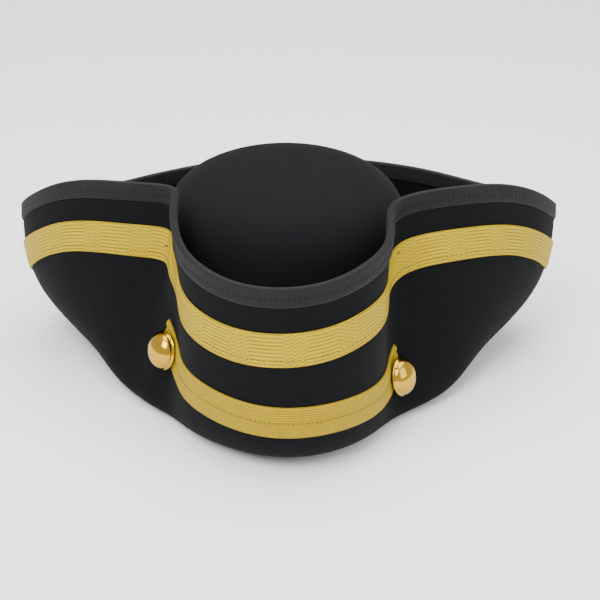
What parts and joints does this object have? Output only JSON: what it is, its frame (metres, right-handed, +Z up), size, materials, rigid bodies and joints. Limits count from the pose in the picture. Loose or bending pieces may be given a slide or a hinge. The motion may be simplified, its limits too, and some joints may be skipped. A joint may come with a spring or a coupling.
{
  "type": "tricorn hat",
  "caption": "Cocked felt hat with three corners, a turned-up brim bound at its edge, gold braid round the brim and lobe, and domed shank buttons at the front creases",
  "frame": {"origin": "middle of the head opening, on the plane the hat rests on", "axes": "+Z up; the front lobe looks along -Y; the wings run along -X and +X"},
  "size_m": [0.3623, 0.2836, 0.1414],
  "materials": {
    "felt": "dense black wool felt, short brushed nap",
    "binding": "black grosgrain ribbon, fine cross ribs",
    "braid": "woven metallic gold braid, lengthwise cords",
    "button_metal": "polished gold-coloured dome",
    "button_back_metal": "plain pressed back and wire shank",
    "sweatband": "black faux leather band",
    "lining": "black satin lining",
    "thread": "black waxed thread"
  },
  "bodies": {
    "root": {"brim_felt": "felt", "crown_felt": "felt", "edge_binding": "binding", "upper_braid": "braid", "lower_braid": "braid", "sweatband": "sweatband", "lining_side": "lining", "lining_tip": "lining", "left_button_thread": "thread", "right_button_thread": "thread", "left_brim_tack": "thread", "right_brim_tack": "thread"},
    "left_button": {"left_button_shell": "button_metal", "left_button_back": "button_back_metal", "left_button_shank": "button_back_metal"},
    "right_button": {"right_button_shell": "button_metal", "right_button_back": "button_back_metal", "right_button_shank": "button_back_metal"}
  },
  "joints": [
    {"name": "left_button_turn", "type": "hinge", "parent": "root", "child": "left_button", "pos_m": [-0.07165, -0.07928, 0.04629], "axis": [-0.7649, -0.5985, 0.2383], "range_deg": [-40, 40]},
    {"name": "right_button_turn", "type": "hinge", "parent": "root", "child": "right_button", "pos_m": [0.07052, -0.08336, 0.03182], "axis": [0.8541, -0.4462, 0.2671], "range_deg": [-40, 40]}
  ]
}
